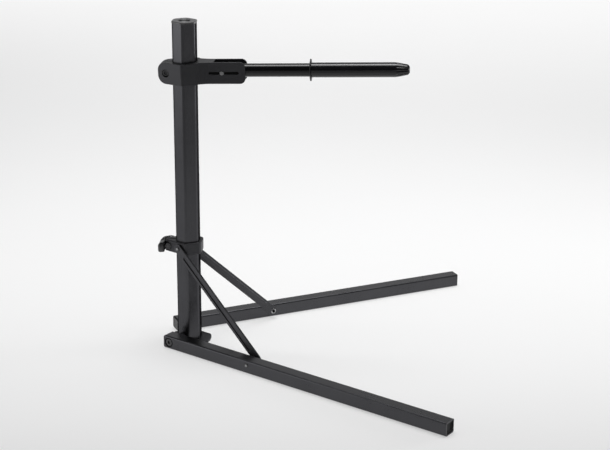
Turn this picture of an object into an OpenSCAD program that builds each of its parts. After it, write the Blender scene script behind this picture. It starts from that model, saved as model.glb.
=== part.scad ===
// Folding bike repair stand: a hexagonal post on two folding legs, with an arm for a hollow crank axle.
// Millimetres, +Z up, +X along the arm. The origin is on the post's axis, at the floor.

/* [Post] */
// Width of the hexagonal post across its flats
post_af = 28; // [22:0.5:36]
// Rounding of the post's six corners
post_corner = 4.8; // [2:0.1:7]
// Wall of the post tube
post_wall = 2; // [1.5:0.1:3]
// Height of the post's upper end above the floor
post_top = 404.4; // [340:1:480]
// Thickness of the cap's rim on the post
cap_t = 2.2; // [1.5:0.1:4]
// How far the cap's rim stands out over the post
cap_lip = 0.6; // [0.2:0.1:2]
// Rounding of the cap's corners
cap_corner = 7; // [5:0.1:9]
// Depth of the cap's plug in the post
cap_plug_h = 12; // [6:1:20]
// Diameter of the dished centre of the cap
cap_dish_d = 17; // [8:1:20]
// Depth of the dished centre of the cap
cap_dish_h = 2.6; // [1:0.1:5]

/* [Base] */
// Thickness of the base plate
base_t = 3; // [2:0.1:5]
// Distance from the post's axis to the base plate's front edge
base_front = 26.5; // [24.5:0.5:32]
// Distance from the post's axis to the base plate's other edges
base_side = 21.9; // [19:0.1:23.4]
// Distance from the post's axis to the base plate's rounded front corners
base_reach = 26.9; // [25.6:0.1:28]
// Height of the hexagonal plug that the post stands over
plug_h = 42; // [20:1:80]
// Gap on each side between a plug and the tube that it fits
plug_clear = 0.1; // [0.05:0.01:0.2]

/* [Legs] */
// Width and height of a square leg tube
leg_w = 16.6; // [14:0.2:20]
// Rounding of a leg tube's long edges
leg_edge = 2; // [1:0.1:3]
// Wall of a leg tube
leg_wall = 1.6; // [1:0.1:2.2]
// Length of a leg from the hinge to its far end
leg_reach = 400; // [300:1:450]
// Length of a leg behind the hinge
leg_back = 8; // [7.5:0.1:12]
// Rounding of a leg's two hinge end corners
leg_end_corner = 2.5; // [1:0.1:5]
// Space between the post's side and a leg
leg_gap = 10.75; // [9:0.05:16]
// Length of the plug in a leg's far end
leg_plug_l = 16; // [8:1:30]
// How deep that plug sits behind the tube's edge
leg_plug_sink = 0.8; // [0.2:0.1:2]
// Length of the solid block in a leg's hinge end, ahead of the hinge
hinge_block_l = 14; // [9:0.5:30]

/* [Leg hinges] */
// Diameter of a hinge bolt
hinge_bolt_d = 6; // [5:0.5:7]
// Diameter of a hinge bolt's head
hinge_head_d = 9.5; // [9:0.1:10.2]
// Height of a hinge bolt's head
hinge_head_h = 2.8; // [2:0.1:3.2]
// How deep a hinge bolt's head sits below the leg's outer side
hinge_head_sink = 0.4; // [0.2:0.1:1]
// Diameter of the opening around a hinge bolt's head in the leg tube
hinge_window_d = 12.6; // [11:0.1:13]
// Diameter of the spacer between the post and a leg
spacer_d = 9.6; // [9:0.1:10.2]
// Diameter of the washer between a spacer and a leg
washer_d = 10.2; // [9.6:0.1:11]
// Thickness of that washer
washer_t = 0.8; // [0.5:0.1:1.5]

/* [Struts] */
// Width of a strut
strut_w = 11.2; // [9:0.2:13]
// Thickness of a strut
strut_t = 2.4; // [1.8:0.1:3]
// Width of the bead pressed along a strut
bead_w = 4.2; // [2:0.1:5]
// Depth of that bead
bead_h = 1.2; // [0.4:0.1:1.4]
// Distance from the leg hinge to the strut's pivot on the leg
leg_pivot = 122; // [90:1:160]
// Height of that pivot above the middle of the leg
leg_pivot_rise = 1.9; // [0:0.1:2.5]
// Distance from the post's axis back to the strut's pivot on the slider
slider_pivot = 0.4; // [0:0.1:5]
// Diameter of a strut's rivets
rivet_d = 4.5; // [3.5:0.1:6]
// Diameter of a rivet's head
rivet_head_d = 6.4; // [5.8:0.1:9]
// Height of a rivet's head
rivet_head_h = 0.9; // [0.6:0.1:1.8]

/* [Slider] */
// Height of the slider's lower end above the floor
slider_z = 118; // [100:1:140]
// Height of the slider
slider_h = 15.2; // [12:0.2:22]
// Wall of the slider
slider_wall = 3.5; // [3:0.1:4.5]
// Width of the chamfer on the slider's upper and lower edges
slider_chamfer = 1.3; // [0.5:0.1:2]
// Gap on each side between the post and a collar that slides on it
slide_clear = 0.15; // [0.1:0.01:0.3]
// Gap between a strut and what it turns beside
strut_clear = 0.45; // [0.3:0.05:0.8]
// Distance from the post's axis back to the slider's rear end
slider_tail = 28; // [27.6:0.1:30]
// Width of the split in a clamping collar
split_w = 2.2; // [1.5:0.1:3]

/* [Release lever] */
// Distance from the post's axis back to the release bolt
release_x = 24; // [23.6:0.1:24.6]
// Diameter of the release bolt
release_d = 4; // [3:0.1:4.4]
// Distance of the bolt's nut from the slider's middle
nut_seat = 5; // [4:0.1:5.4]
// Width of the nut across its flats
nut_af = 7; // [6:0.1:7.6]
// Height of the nut
nut_h = 3.2; // [2.4:0.1:4]
// Height of the bolt's eye
eye_h = 5; // [4:0.1:6.4]
// Wall of that eye round the lever's pin
eye_wall = 1.5; // [1:0.1:1.7]
// Distance of the lever's pin from the slider's middle
lever_pin_y = 11.2; // [11:0.1:12]
// Diameter of the lever's pin
lever_pin_d = 3; // [2.5:0.1:3.2]
// Diameter of the lever's cam
cam_d = 9.4; // [9:0.1:9.8]
// Inner radius of the curved lever
lever_r = 18.6; // [18.4:0.1:22]
// Thickness of the curved lever
lever_t = 3.2; // [2.6:0.1:4.2]
// Thickness of the lever's tip
lever_tip_d = 6.4; // [4:0.1:7]
// Height of the lever
lever_h = 12; // [10:0.2:14]
// Rounding of the lever's upper outer corner
lever_round = 7.5; // [3:0.1:9]
// Sweep of the curved lever round the slider
lever_sweep = 72; // [60:1:90]

/* [Arm clamp] */
// Height of the fork's axis above the floor at the post
arm_z = 344.9; // [280:1:370]
// Wall of the arm clamp round the post
clamp_wall = 6; // [4.5:0.1:7]
// Rounding of the arm clamp's corners
clamp_corner = 5; // [3:0.1:8]
// Height of the arm clamp
clamp_h = 25.8; // [25:0.2:30]
// Distance from the post's axis back to the arm clamp's rear end
clamp_tail = 32; // [30:0.2:34]
// Rounding of the arm clamp's rear end
clamp_tail_round = 10; // [5:0.5:12.5]
// Distance from the post's axis back to the clamp bolt
clamp_bolt_x = 22; // [21.6:0.1:24]
// Diameter of the clamp bolt
clamp_bolt_d = 5; // [4:0.5:6]
// Diameter of the clamp bolt's head
clamp_head_d = 8.5; // [7:0.1:9]
// Height of the clamp bolt's head and of its nut
clamp_head_h = 3.6; // [3:0.1:4]
// Wall left between the split and the clamp bolt's head
clamp_land = 2.6; // [2:0.1:3.5]

/* [Fork] */
// Upward tilt of the fork and the arm
arm_tilt = 2; // [0:0.1:4]
// Thickness of a fork plate
plate_t = 1.9; // [1.6:0.1:3]
// Height of the fork's plates
fork_h = 26; // [22:0.2:28]
// Distance from the post's axis to the fork's outer end
fork_end = 73.5; // [66:0.5:90]
// Rounding of the fork plates' outer corners
fork_corner = 6.5; // [3:0.5:10]
// Radius of the hollow where the clamp runs into a fork plate
neck_r = 40; // [20:1:44]
// Distance from the post's axis to the arm's pivot pin
pin_x = 45.6; // [45:0.1:50]
// Diameter of the pivot pin
pin_d = 5; // [4:0.1:6]
// How far the pivot pin's rounded ends stand out of the fork
pin_proud = 0.5; // [0.2:0.1:1]
// Length of the groove along each fork plate
groove_l = 36; // [20:1:44]
// Height of that groove
groove_h = 3; // [1.5:0.1:4]
// Depth of that groove
groove_t = 1.1; // [0.5:0.1:1.3]
// Distance from the post's axis to the middle of the groove
groove_x = 47.8; // [44:0.1:50]

/* [Arm] */
// Diameter of the arm's rod
rod_d = 16; // [12:0.1:17]
// Diameter of the hollow in the rod
rod_bore_d = 10; // [6:0.5:12]
// Length of the rod from the post's axis to its end
rod_end = 249; // [200:1:300]
// How far the rod's axis lies above the pivot pin
rod_rise = 1.3; // [0:0.1:2]
// Gap on each side between the rod and the fork's plates
rod_clear = 0.3; // [0.2:0.05:0.6]
// Distance from the post's axis to the stop ring
ring_x = 149.8; // [120:1:190]
// Diameter of the stop ring
ring_d = 26.6; // [22:0.2:34]
// Thickness of the stop ring
ring_t = 1.2; // [0.8:0.1:4]
// Wall of the sleeve on the rod
sleeve_wall = 0.75; // [0.6:0.05:2]
// Gap between the sleeve and the rod
sleeve_clear = 0.05; // [0.02:0.01:0.1]
// Length of the sleeve's tapered nose
nose_l = 17.8; // [12:0.2:30]
// Diameter of the nose at its front
nose_d = 13.2; // [9:0.1:14]
// Rounding of the nose's front edge
nose_round = 2.6; // [1:0.1:4]
// Number of flutes along the nose
nose_flutes = 10; // [6:1:14]
// Width of a flute
flute_w = 2.2; // [1:0.1:3]

/* [Hidden] */
$fn = 64;

// Sides: the right leg lies on the -Y side and the left leg on the +Y side
RIGHT = -1;
LEFT = 1;
// A small length that carries a cut past a face
eps = 1;
// Radial gap of a pin that turns in its hole, and of one that is fixed in it
turn_clear = 0.05;
fixed_clear = 0.03;
// Angle of each leg from the arm's direction, set by the post's hexagon
leg_turn = 30;
// Gap between faces that stay clear of each other
face_clear = 0.3;
// How far a blending curve dips under the faces that it joins
blend_sink = 0.1;

// Distances along a leg's outward direction, measured from the post's axis
post_face = post_af / 2;
leg_in = post_face + leg_gap;
leg_mid = leg_in + leg_w / 2;
leg_out = leg_in + leg_w;
slider_face = post_face + slide_clear + slider_wall;
strut_in = slider_face + strut_clear;
strut_out = strut_in + strut_t;
leg_pin_in = strut_out + strut_clear;
washer_out = leg_in - face_clear;
washer_in = washer_out - washer_t;
leg_bore_w = leg_w - 2 * leg_wall;
block_w = leg_bore_w - 2 * plug_clear;
hinge_head_out = leg_out - hinge_head_sink;
hinge_head_in = hinge_head_out - hinge_head_h;
head_seat = hinge_head_in - face_clear;
plug_af = post_af - 2 * post_wall - 2 * plug_clear;
hinge_bolt_in = plug_af / 4;

// Heights
hinge_z = leg_w / 2;
slider_mid = slider_z + slider_h / 2;
leg_pivot_z = hinge_z + leg_pivot_rise;
strut_rise = slider_mid - leg_pivot_z;
strut_run = leg_pivot + slider_pivot;
strut_l = sqrt(strut_rise * strut_rise + strut_run * strut_run);
strut_slope = atan2(-strut_rise, strut_run);
// The bead stands out on the strut's inner face and starts clear of the slider
rib_w = bead_w + bead_h;
bead_from = (slider_h / 2 + rib_w / 2 + face_clear) / sin(-strut_slope);

// Slider and lever
eye_d = lever_pin_d + 2 * eye_wall;
cam_in = lever_pin_y - cam_d / 2;
lever_from = 120;
lever_mid_r = lever_r + lever_t / 2;
lever_centre = [-release_x - lever_mid_r * cos(lever_from), lever_pin_y - lever_mid_r * sin(lever_from)];
lever_left = lever_centre.x - lever_r - lever_t;
lever_z = slider_mid - lever_h / 2;
lever_top = slider_mid + lever_h / 2;

// Arm clamp and fork
clamp_half = post_face + slide_clear + clamp_wall;
clamp_seat = split_w / 2 + clamp_land;
fork_gap = rod_d + 2 * rod_clear;
fork_w = fork_gap + 2 * plate_t;
neck_x = (clamp_half - fork_w / 2 * cos(leg_turn)) / sin(leg_turn);
neck_run = neck_r * tan(leg_turn / 2);
heel_r = rod_d / 2 + rod_rise;
// Length of the solid bridge behind the fork's gap, from the post's axis
fork_bridge = pin_x - heel_r - 2 * rod_clear;
sleeve_d = rod_d + 2 * sleeve_wall + 2 * sleeve_clear;
sleeve_from = ring_x + ring_t;
nose_from = rod_end + face_clear;
nose_to = nose_from + nose_l;

post_black = [0.20, 0.20, 0.21];
leg_black = [0.23, 0.23, 0.25];
cast_black = [0.17, 0.17, 0.18];
gloss_black = [0.06, 0.06, 0.07];
plastic_black = [0.10, 0.10, 0.11];
steel_dark = [0.34, 0.34, 0.35];
steel_bright = [0.62, 0.62, 0.64];

// Shared shapes

// A regular hexagon with rounded corners and one flat facing +X
module round_hexagon(af, corner) {
    inner = af - 2 * corner;
    side = inner / sqrt(3);
    circle(d = 2 * side, $fn = 6);
    for (turn = [0, 60, 120]) {
        rotate(turn) square([af, side], center = true);
    }
    for (turn = [30:60:330]) {
        rotate(turn) translate([side, 0]) circle(corner);
    }
}

// A hexagon whose corners are turned down to the reach of a rounded one
module turned_hexagon(af, corner) {
    intersection() {
        rotate(leg_turn) circle(d = af * 2 / sqrt(3), $fn = 6);
        circle((af / 2 - corner) * 2 / sqrt(3) + corner);
    }
}

// A hexagonal prism standing on z
module hex_prism(af, corner, z, h) {
    translate([0, 0, z]) linear_extrude(h) round_hexagon(af, corner);
}

// A square with rounded corners
module round_square(w, corner) {
    square([w, w - 2 * corner], center = true);
    square([w - 2 * corner, w], center = true);
    for (x = [-1, 1], y = [-1, 1]) {
        translate([x, y] * (w / 2 - corner)) circle(corner);
    }
}

// A bar with round ends from the origin along +X
module round_bar(l, w) {
    translate([0, -w / 2]) square([l, w]);
    circle(d = w);
    translate([l, 0]) circle(d = w);
}

// A clamping collar from above: the hexagon, with its two rear sides drawn on to a narrow tail
module collar_outline(half, corner, tail) {
    root = [-half * sin(leg_turn), half * cos(leg_turn)];
    tail_y = (half / sin(leg_turn) - tail) * tan(leg_turn);
    round_hexagon(2 * half, corner);
    polygon([[0, 0], root, [-tail, tail_y], [-tail, -tail_y], [root.x, -root.y]]);
}

// What chamfers along a collar's upper edge take away, on all its sides but the rear
module chamfer_waste(half, chamfer, z) {
    for (turn = [-120:60:120]) {
        rotate(turn) translate([half, 0, z]) rotate([0, 45, 0])
            cube([chamfer * sqrt(2), 4 * half, chamfer * sqrt(2)], center = true);
    }
}

// What a rounded corner at the origin leaves over, for cutting away
module corner_waste(r) {
    difference() {
        translate([-eps, -eps]) square(r + eps);
        translate([r, r]) circle(r);
    }
}

// The frame of one leg: x along the leg, -y outward from the post
module leg_side(side) {
    if (side == RIGHT) {
        rotate([0, 0, -leg_turn]) children();
    } else {
        mirror([0, 1, 0]) rotate([0, 0, -leg_turn]) children();
    }
}

// Stands a flat drawing of a leg's side view up, at a distance outward from the post
module outward(n) {
    translate([0, -n, 0]) rotate([90, 0, 0]) children();
}

// A round bar running outward from the post, centred on x and z of a leg's frame
module outward_rod(x, z, from, to, d) {
    outward(from) translate([x, z, 0]) cylinder(d = d, h = to - from);
}

// The arm's frame: x along the arm, with the origin on the post's axis
module arm_frame() {
    translate([0, 0, arm_z]) rotate([0, -arm_tilt, 0]) children();
}

// The rod's frame, above that of the arm
module rod_frame() {
    arm_frame() translate([0, 0, rod_rise]) rotate([0, 90, 0]) children();
}

// A round bar across the arm, centred on the arm's middle plane
module cross_rod(x, z, d, l) {
    translate([x, 0, z]) rotate([90, 0, 0]) cylinder(d = d, h = l, center = true);
}

// A rivet with a domed head that points along +z
module domed_head(d, h) {
    step = h / 3;
    rotate_extrude()
        polygon([[0, 0], [d / 2, 0], [d / 2, step], [d / 2 - step, 2 * step], [d / 4, h], [0, h]]);
}

// Post and base

module post_tube() {
    color(post_black) difference() {
        hex_prism(post_af, post_corner, base_t, post_top - base_t);
        hex_prism(post_af - 2 * post_wall, post_corner - post_wall, base_t - eps, post_top);
        for (side = [RIGHT, LEFT]) {
            leg_side(side)
                outward_rod(0, hinge_z, post_face - 2 * post_wall, leg_in, hinge_bolt_d + 2 * fixed_clear);
        }
    }
}

module top_cap() {
    color(plastic_black) difference() {
        union() {
            translate([0, 0, post_top]) linear_extrude(cap_t)
                turned_hexagon(post_af + 2 * cap_lip, cap_corner);
            translate([0, 0, post_top - cap_plug_h]) linear_extrude(cap_plug_h + cap_t / 2)
                turned_hexagon(plug_af, post_corner - post_wall);
        }
        translate([0, 0, post_top + cap_t - cap_dish_h]) cylinder(d = cap_dish_d, h = cap_dish_h + eps);
    }
}

// The base plate from above: a hexagon that is longer at the front
module base_outline() {
    tip_y = base_side / cos(leg_turn);
    front_y = tip_y - base_front * tan(leg_turn);
    intersection() {
        polygon([
            [base_front, -front_y], [base_front, front_y], [0, tip_y],
            [-base_side, tip_y / 2], [-base_side, -tip_y / 2], [0, -tip_y]
        ]);
        circle(base_reach);
    }
}

module base_bracket() {
    color(cast_black) difference() {
        union() {
            linear_extrude(base_t) base_outline();
            translate([0, 0, base_t / 2]) linear_extrude(plug_h + base_t / 2)
                turned_hexagon(plug_af, post_corner - post_wall);
        }
        for (side = [RIGHT, LEFT]) {
            leg_side(side)
                outward_rod(0, hinge_z, hinge_bolt_in, post_face, hinge_bolt_d + 2 * fixed_clear);
        }
    }
}

module hinge_bolts() {
    socket_af = hinge_bolt_d * 2 / 3;
    color(steel_dark) for (side = [RIGHT, LEFT]) {
        leg_side(side) difference() {
            union() {
                outward_rod(0, hinge_z, hinge_bolt_in, hinge_head_out, hinge_bolt_d);
                outward_rod(0, hinge_z, hinge_head_in, hinge_head_out, hinge_head_d);
            }
            outward(hinge_head_in + hinge_head_h / 3) translate([0, hinge_z, 0])
                cylinder(d = socket_af * 2 / sqrt(3), h = hinge_head_h, $fn = 6);
        }
    }
}

module hinge_ring(from, to, d) {
    for (side = [RIGHT, LEFT]) {
        leg_side(side) difference() {
            outward_rod(0, hinge_z, from, to, d);
            outward_rod(0, hinge_z, from - eps, to + eps, hinge_bolt_d + 2 * fixed_clear);
        }
    }
}

module hinge_spacers() {
    color(steel_dark) hinge_ring(post_face, washer_in, spacer_d);
}

module hinge_washers() {
    color(plastic_black) hinge_ring(washer_in, washer_out, washer_d);
}

// Legs

module leg_tube(side) {
    color(leg_black) leg_side(side) difference() {
        translate([-leg_back, -leg_mid, hinge_z]) rotate([90, 0, 90]) linear_extrude(leg_back + leg_reach)
            difference() {
                round_square(leg_w, leg_edge);
                square(leg_bore_w, center = true);
            }
        outward(leg_in - eps) linear_extrude(leg_w + 2 * eps) {
            translate([-leg_back, 0]) corner_waste(leg_end_corner);
            translate([-leg_back, leg_w]) mirror([0, 1]) corner_waste(leg_end_corner);
        }
        outward_rod(0, hinge_z, leg_mid, leg_out + eps, hinge_window_d);
        outward_rod(0, hinge_z, leg_in - eps, leg_mid, hinge_bolt_d + 4 * turn_clear);
        outward_rod(leg_pivot, leg_pivot_z, leg_in - eps, leg_out + eps, rivet_d + 2 * fixed_clear);
    }
}

module hinge_block(side) {
    back = leg_back - face_clear;
    color(plastic_black) leg_side(side) difference() {
        translate([-back, -leg_mid - block_w / 2, hinge_z - block_w / 2])
            cube([back + hinge_block_l, block_w, block_w]);
        outward_rod(0, hinge_z, leg_in, leg_out, hinge_bolt_d + 2 * turn_clear);
        outward_rod(0, hinge_z, head_seat, leg_out, hinge_head_d + 2 * face_clear);
    }
}

module leg_plug(side) {
    plug_w = leg_bore_w - 2 * plug_clear;
    color(plastic_black) leg_side(side)
        translate([leg_reach - leg_plug_sink - leg_plug_l, -leg_mid, hinge_z]) rotate([90, 0, 90])
            linear_extrude(leg_plug_l) square(plug_w, center = true);
}

module leg_pin(side) {
    color(steel_dark) leg_side(side) {
        outward_rod(leg_pivot, leg_pivot_z, leg_pin_in, leg_out, rivet_d);
        outward_rod(leg_pivot, leg_pivot_z, leg_pin_in, leg_in, rivet_head_d);
        outward(leg_out) translate([leg_pivot, leg_pivot_z, 0]) domed_head(rivet_head_d, rivet_head_h);
    }
}

// Struts

module strut_line(side) {
    leg_side(side) outward(strut_in) translate([-slider_pivot, slider_mid, 0]) rotate(strut_slope) children();
}

module strut(side) {
    bead_l = strut_l - 2 * bead_from;
    color(cast_black) strut_line(side) difference() {
        union() {
            linear_extrude(strut_t) round_bar(strut_l, strut_w);
            translate([bead_from, 0, -bead_h]) linear_extrude(strut_t) round_bar(bead_l, rib_w);
        }
        translate([bead_from, 0, strut_t - bead_h]) linear_extrude(bead_h + eps) round_bar(bead_l, bead_w);
        for (x = [0, strut_l]) {
            translate([x, 0, -eps]) cylinder(d = rivet_d + 2 * turn_clear, h = strut_t + 2 * eps);
        }
    }
}

module strut_rivet(side) {
    color(steel_bright) strut_line(side) translate([strut_l, 0, 0]) {
        cylinder(d = rivet_d, h = strut_t);
        mirror([0, 0, 1]) domed_head(rivet_head_d, rivet_head_h);
    }
}

// Slider and its release

module slider_collar() {
    bore_af = post_af + 2 * slide_clear;
    nut_room = nut_af * 2 / sqrt(3) + 2 * face_clear;
    cam_room = cam_d + 4 * face_clear;
    color(cast_black) difference() {
        translate([0, 0, slider_z]) linear_extrude(slider_h)
            collar_outline(slider_face, post_corner + slide_clear + slider_wall / 2, slider_tail);
        for (z = [slider_z, slider_z + slider_h]) {
            chamfer_waste(slider_face, slider_chamfer, z);
        }
        hex_prism(bore_af, post_corner + slide_clear, slider_z - eps, slider_h + 2 * eps);
        translate([-slider_tail - eps, -split_w / 2, slider_z - eps])
            cube([slider_tail, split_w, slider_h + 2 * eps]);
        cross_rod(-release_x, slider_mid, release_d + 2 * turn_clear, 4 * slider_face);
        translate([-release_x, -nut_seat, slider_mid]) rotate([90, 0, 0])
            cylinder(d = nut_room, h = slider_face);
        translate([-release_x - cam_room / 2, cam_in - face_clear, slider_z - eps])
            cube([cam_room, slider_face, slider_h + 2 * eps]);
        for (side = [RIGHT, LEFT]) {
            leg_side(side)
                outward_rod(-slider_pivot, slider_mid, post_face, strut_in, rivet_d + 2 * fixed_clear);
        }
    }
}

module slider_rivets() {
    inner = post_face + 2 * slide_clear + face_clear;
    head_at = strut_out + face_clear;
    color(steel_bright) for (side = [RIGHT, LEFT]) {
        leg_side(side) {
            outward_rod(-slider_pivot, slider_mid, inner, head_at, rivet_d);
            outward(head_at) translate([-slider_pivot, slider_mid, 0]) domed_head(rivet_head_d, rivet_head_h);
        }
    }
}

module release_bolt() {
    bolt_l = lever_pin_y + nut_seat + nut_h + face_clear;
    color(steel_dark) translate([-release_x, lever_pin_y, slider_mid]) difference() {
        union() {
            rotate([90, 0, 0]) cylinder(d = release_d, h = bolt_l);
            cylinder(d = eye_d, h = eye_h, center = true);
        }
        cylinder(d = lever_pin_d + 2 * fixed_clear, h = eye_h + 2 * eps, center = true);
    }
}

module release_nut() {
    color(steel_dark) translate([-release_x, -nut_seat, slider_mid]) rotate([90, 0, 0]) difference() {
        cylinder(d = nut_af * 2 / sqrt(3), h = nut_h, $fn = 6);
        translate([0, 0, -eps]) cylinder(d = release_d + 2 * fixed_clear, h = nut_h + 2 * eps);
    }
}

module lever_pin() {
    color(steel_bright) translate([-release_x, lever_pin_y, lever_z]) cylinder(d = lever_pin_d, h = lever_h);
}

// The cam and the curved handle that is one piece with it
module lever_body() {
    translate([-release_x, lever_pin_y, lever_z]) cylinder(d = cam_d, h = lever_h);
    translate([lever_centre.x, lever_centre.y, lever_z]) {
        rotate([0, 0, lever_from]) rotate_extrude(angle = lever_sweep)
            translate([lever_r, 0]) square([lever_t, lever_h]);
        rotate([0, 0, lever_from + lever_sweep]) translate([lever_mid_r, 0, 0])
            cylinder(d = lever_tip_d, h = lever_h);
    }
}

module release_lever() {
    slot_h = eye_h + 2 * face_clear;
    bolt_room = release_d / 2 + face_clear;
    color(gloss_black) difference() {
        lever_body();
        translate([lever_left, 0, lever_top]) rotate([90, 0, 0])
            linear_extrude(4 * lever_r, center = true) mirror([0, 1]) corner_waste(lever_round);
        translate([lever_left, 0, lever_z]) rotate([90, 0, 0])
            linear_extrude(4 * lever_r, center = true) corner_waste(lever_round / 3);
        translate([-release_x, lever_pin_y, lever_z - eps])
            cylinder(d = lever_pin_d + 2 * turn_clear, h = lever_h + 2 * eps);
        translate([-release_x, lever_pin_y, slider_mid])
            cylinder(d = eye_d + 2 * face_clear, h = slot_h, center = true);
        translate([-release_x - bolt_room, cam_in - eps, slider_mid - slot_h / 2])
            cube([bolt_room + cam_d, lever_pin_y - cam_in + eps + bolt_room, slot_h]);
    }
}

// Arm clamp and fork

module clamp_body() {
    difference() {
        translate([0, 0, -clamp_h / 2]) linear_extrude(clamp_h)
            collar_outline(clamp_half, clamp_corner, clamp_tail);
        rotate([90, 0, 0]) linear_extrude(4 * clamp_half, center = true) {
            translate([-clamp_tail, -clamp_h / 2]) corner_waste(clamp_tail_round);
            translate([-clamp_tail, clamp_h / 2]) mirror([0, 1]) corner_waste(clamp_tail_round);
        }
    }
}

// The hollow corner between the clamp's side and a fork plate, from above
module neck_outline() {
    from_x = neck_x - neck_run * cos(leg_turn);
    from_y = fork_w / 2 + neck_run * sin(leg_turn);
    to_x = neck_x + neck_run;
    difference() {
        polygon([[from_x, -eps], [from_x, from_y], [to_x, fork_w / 2], [to_x, -eps]]);
        translate([to_x, fork_w / 2 + neck_r - blend_sink]) circle(neck_r, $fn = 180);
    }
}

// One fork plate's side view, with its outer corners rounded
module fork_outline() {
    translate([0, -fork_h / 2]) square([fork_end - fork_corner, fork_h]);
    translate([fork_end - 2 * fork_corner, fork_corner - fork_h / 2])
        square([2 * fork_corner, fork_h - 2 * fork_corner]);
    for (z = [-1, 1]) {
        translate([fork_end - fork_corner, z * (fork_h / 2 - fork_corner)]) circle(fork_corner);
    }
}

module fork_cuts() {
    translate([fork_bridge, -fork_gap / 2, -fork_h]) cube([fork_end, fork_gap, 2 * fork_h]);
    cross_rod(pin_x, 0, pin_d + 2 * fixed_clear, 2 * fork_w);
    for (y = [-1, 1]) {
        translate([groove_x - groove_l / 2 + groove_h / 2, y * fork_w / 2, 0]) rotate([90, 0, 0])
            linear_extrude(2 * groove_t, center = true) round_bar(groove_l - groove_h, groove_h);
    }
}

module clamp_cuts() {
    translate([-2 * clamp_tail, -split_w / 2, -clamp_h]) cube([2 * clamp_tail, split_w, 2 * clamp_h]);
    cross_rod(-clamp_bolt_x, 0, clamp_bolt_d + 2 * fixed_clear, 4 * clamp_half);
    for (y = [-1, 1]) {
        translate([-clamp_bolt_x, y * clamp_seat, 0]) rotate([-90 * y, 0, 0])
            cylinder(d = clamp_head_d + 2 * face_clear, h = clamp_half);
    }
}

module arm_clamp() {
    color(cast_black) difference() {
        arm_frame() difference() {
            union() {
                clamp_body();
                rotate([90, 0, 0]) linear_extrude(fork_w, center = true) fork_outline();
                linear_extrude(fork_h, center = true) {
                    neck_outline();
                    mirror([0, 1]) neck_outline();
                }
            }
            clamp_cuts();
            fork_cuts();
        }
        hex_prism(post_af + 2 * slide_clear, post_corner + slide_clear, arm_z - clamp_h, 2 * clamp_h);
    }
}

module clamp_bolt() {
    socket_af = clamp_bolt_d * 4 / 5;
    color(steel_dark) arm_frame()
        translate([-clamp_bolt_x, -clamp_seat - clamp_head_h, 0]) rotate([-90, 0, 0])
        difference() {
            union() {
                cylinder(d = clamp_head_d, h = clamp_head_h);
                cylinder(d = clamp_bolt_d, h = 2 * (clamp_seat + clamp_head_h));
            }
            translate([0, 0, -eps])
                cylinder(d = socket_af * 2 / sqrt(3), h = clamp_head_h / 2 + eps, $fn = 6);
        }
}

module clamp_nut() {
    color(steel_dark) arm_frame() translate([-clamp_bolt_x, clamp_seat, 0]) rotate([-90, 0, 0]) difference() {
        cylinder(d = clamp_head_d, h = clamp_head_h, $fn = 6);
        translate([0, 0, -eps]) cylinder(d = clamp_bolt_d + 2 * fixed_clear, h = clamp_head_h + 2 * eps);
    }
}

module pivot_pin() {
    color(steel_bright) arm_frame() translate([pin_x, 0, 0]) {
        cross_rod(0, 0, pin_d, fork_w);
        for (turn = [90, -90]) {
            rotate([turn, 0, 0]) translate([0, 0, fork_w / 2]) domed_head(pin_d, pin_proud);
        }
    }
}

// Arm

// The rod, with its heel rounded about the pivot pin
module arm_rod() {
    color(gloss_black) difference() {
        intersection() {
            rod_frame() cylinder(d = rod_d, h = rod_end);
            arm_frame() {
                cross_rod(pin_x, 0, 2 * heel_r, 2 * fork_w);
                translate([pin_x, -fork_w, -rod_d]) cube([rod_end, 2 * fork_w, 2 * rod_d]);
            }
        }
        arm_frame() cross_rod(pin_x, 0, pin_d + 2 * turn_clear, 2 * fork_w);
        rod_frame() translate([0, 0, fork_end]) cylinder(d = rod_bore_d, h = rod_end);
    }
}

module stop_ring() {
    color(plastic_black) rod_frame() translate([0, 0, ring_x]) difference() {
        cylinder(d = ring_d, h = ring_t);
        translate([0, 0, -eps]) cylinder(d = rod_d + 2 * sleeve_clear, h = ring_t + 2 * eps);
    }
}

// Half of the sleeve's section, with the arm's axis along y
module sleeve_section() {
    r = sleeve_d / 2;
    tip_r = nose_d / 2;
    difference() {
        union() {
            polygon([
                [0, sleeve_from], [r, sleeve_from], [r, nose_from], [tip_r, nose_to - nose_round],
                [tip_r - nose_round, nose_to], [0, nose_to]
            ]);
            translate([tip_r - nose_round, nose_to - nose_round]) circle(nose_round);
        }
        translate([-r, sleeve_from - eps])
            square([r + rod_d / 2 + sleeve_clear, rod_end + face_clear / 2 - sleeve_from + eps]);
    }
}

module arm_sleeve() {
    taper = atan2((sleeve_d - nose_d) / 2, nose_l - nose_round);
    color(gloss_black) rod_frame() difference() {
        rotate_extrude() sleeve_section();
        for (i = [0:nose_flutes - 1]) {
            rotate([0, 0, i * 360 / nose_flutes])
                translate([sleeve_d / 2 + flute_w / 4, 0, nose_from + flute_w])
                    rotate([0, -taper, 0]) cylinder(d = flute_w, h = 2 * nose_l);
        }
    }
}

post_tube();
top_cap();
base_bracket();
hinge_bolts();
hinge_spacers();
hinge_washers();
leg_tube(RIGHT);  // right_leg_tube
hinge_block(RIGHT);  // right_hinge_block
leg_plug(RIGHT);  // right_leg_plug
leg_pin(RIGHT);  // right_leg_pin
leg_tube(LEFT);  // left_leg_tube
hinge_block(LEFT);  // left_hinge_block
leg_plug(LEFT);  // left_leg_plug
leg_pin(LEFT);  // left_leg_pin
strut(RIGHT);  // right_strut
strut_rivet(RIGHT);  // right_strut_rivet
strut(LEFT);  // left_strut
strut_rivet(LEFT);  // left_strut_rivet
slider_collar();
slider_rivets();
release_bolt();
release_nut();
lever_pin();
release_lever();
arm_clamp();
clamp_bolt();
clamp_nut();
pivot_pin();
arm_rod();
stop_ring();
arm_sleeve();
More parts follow.
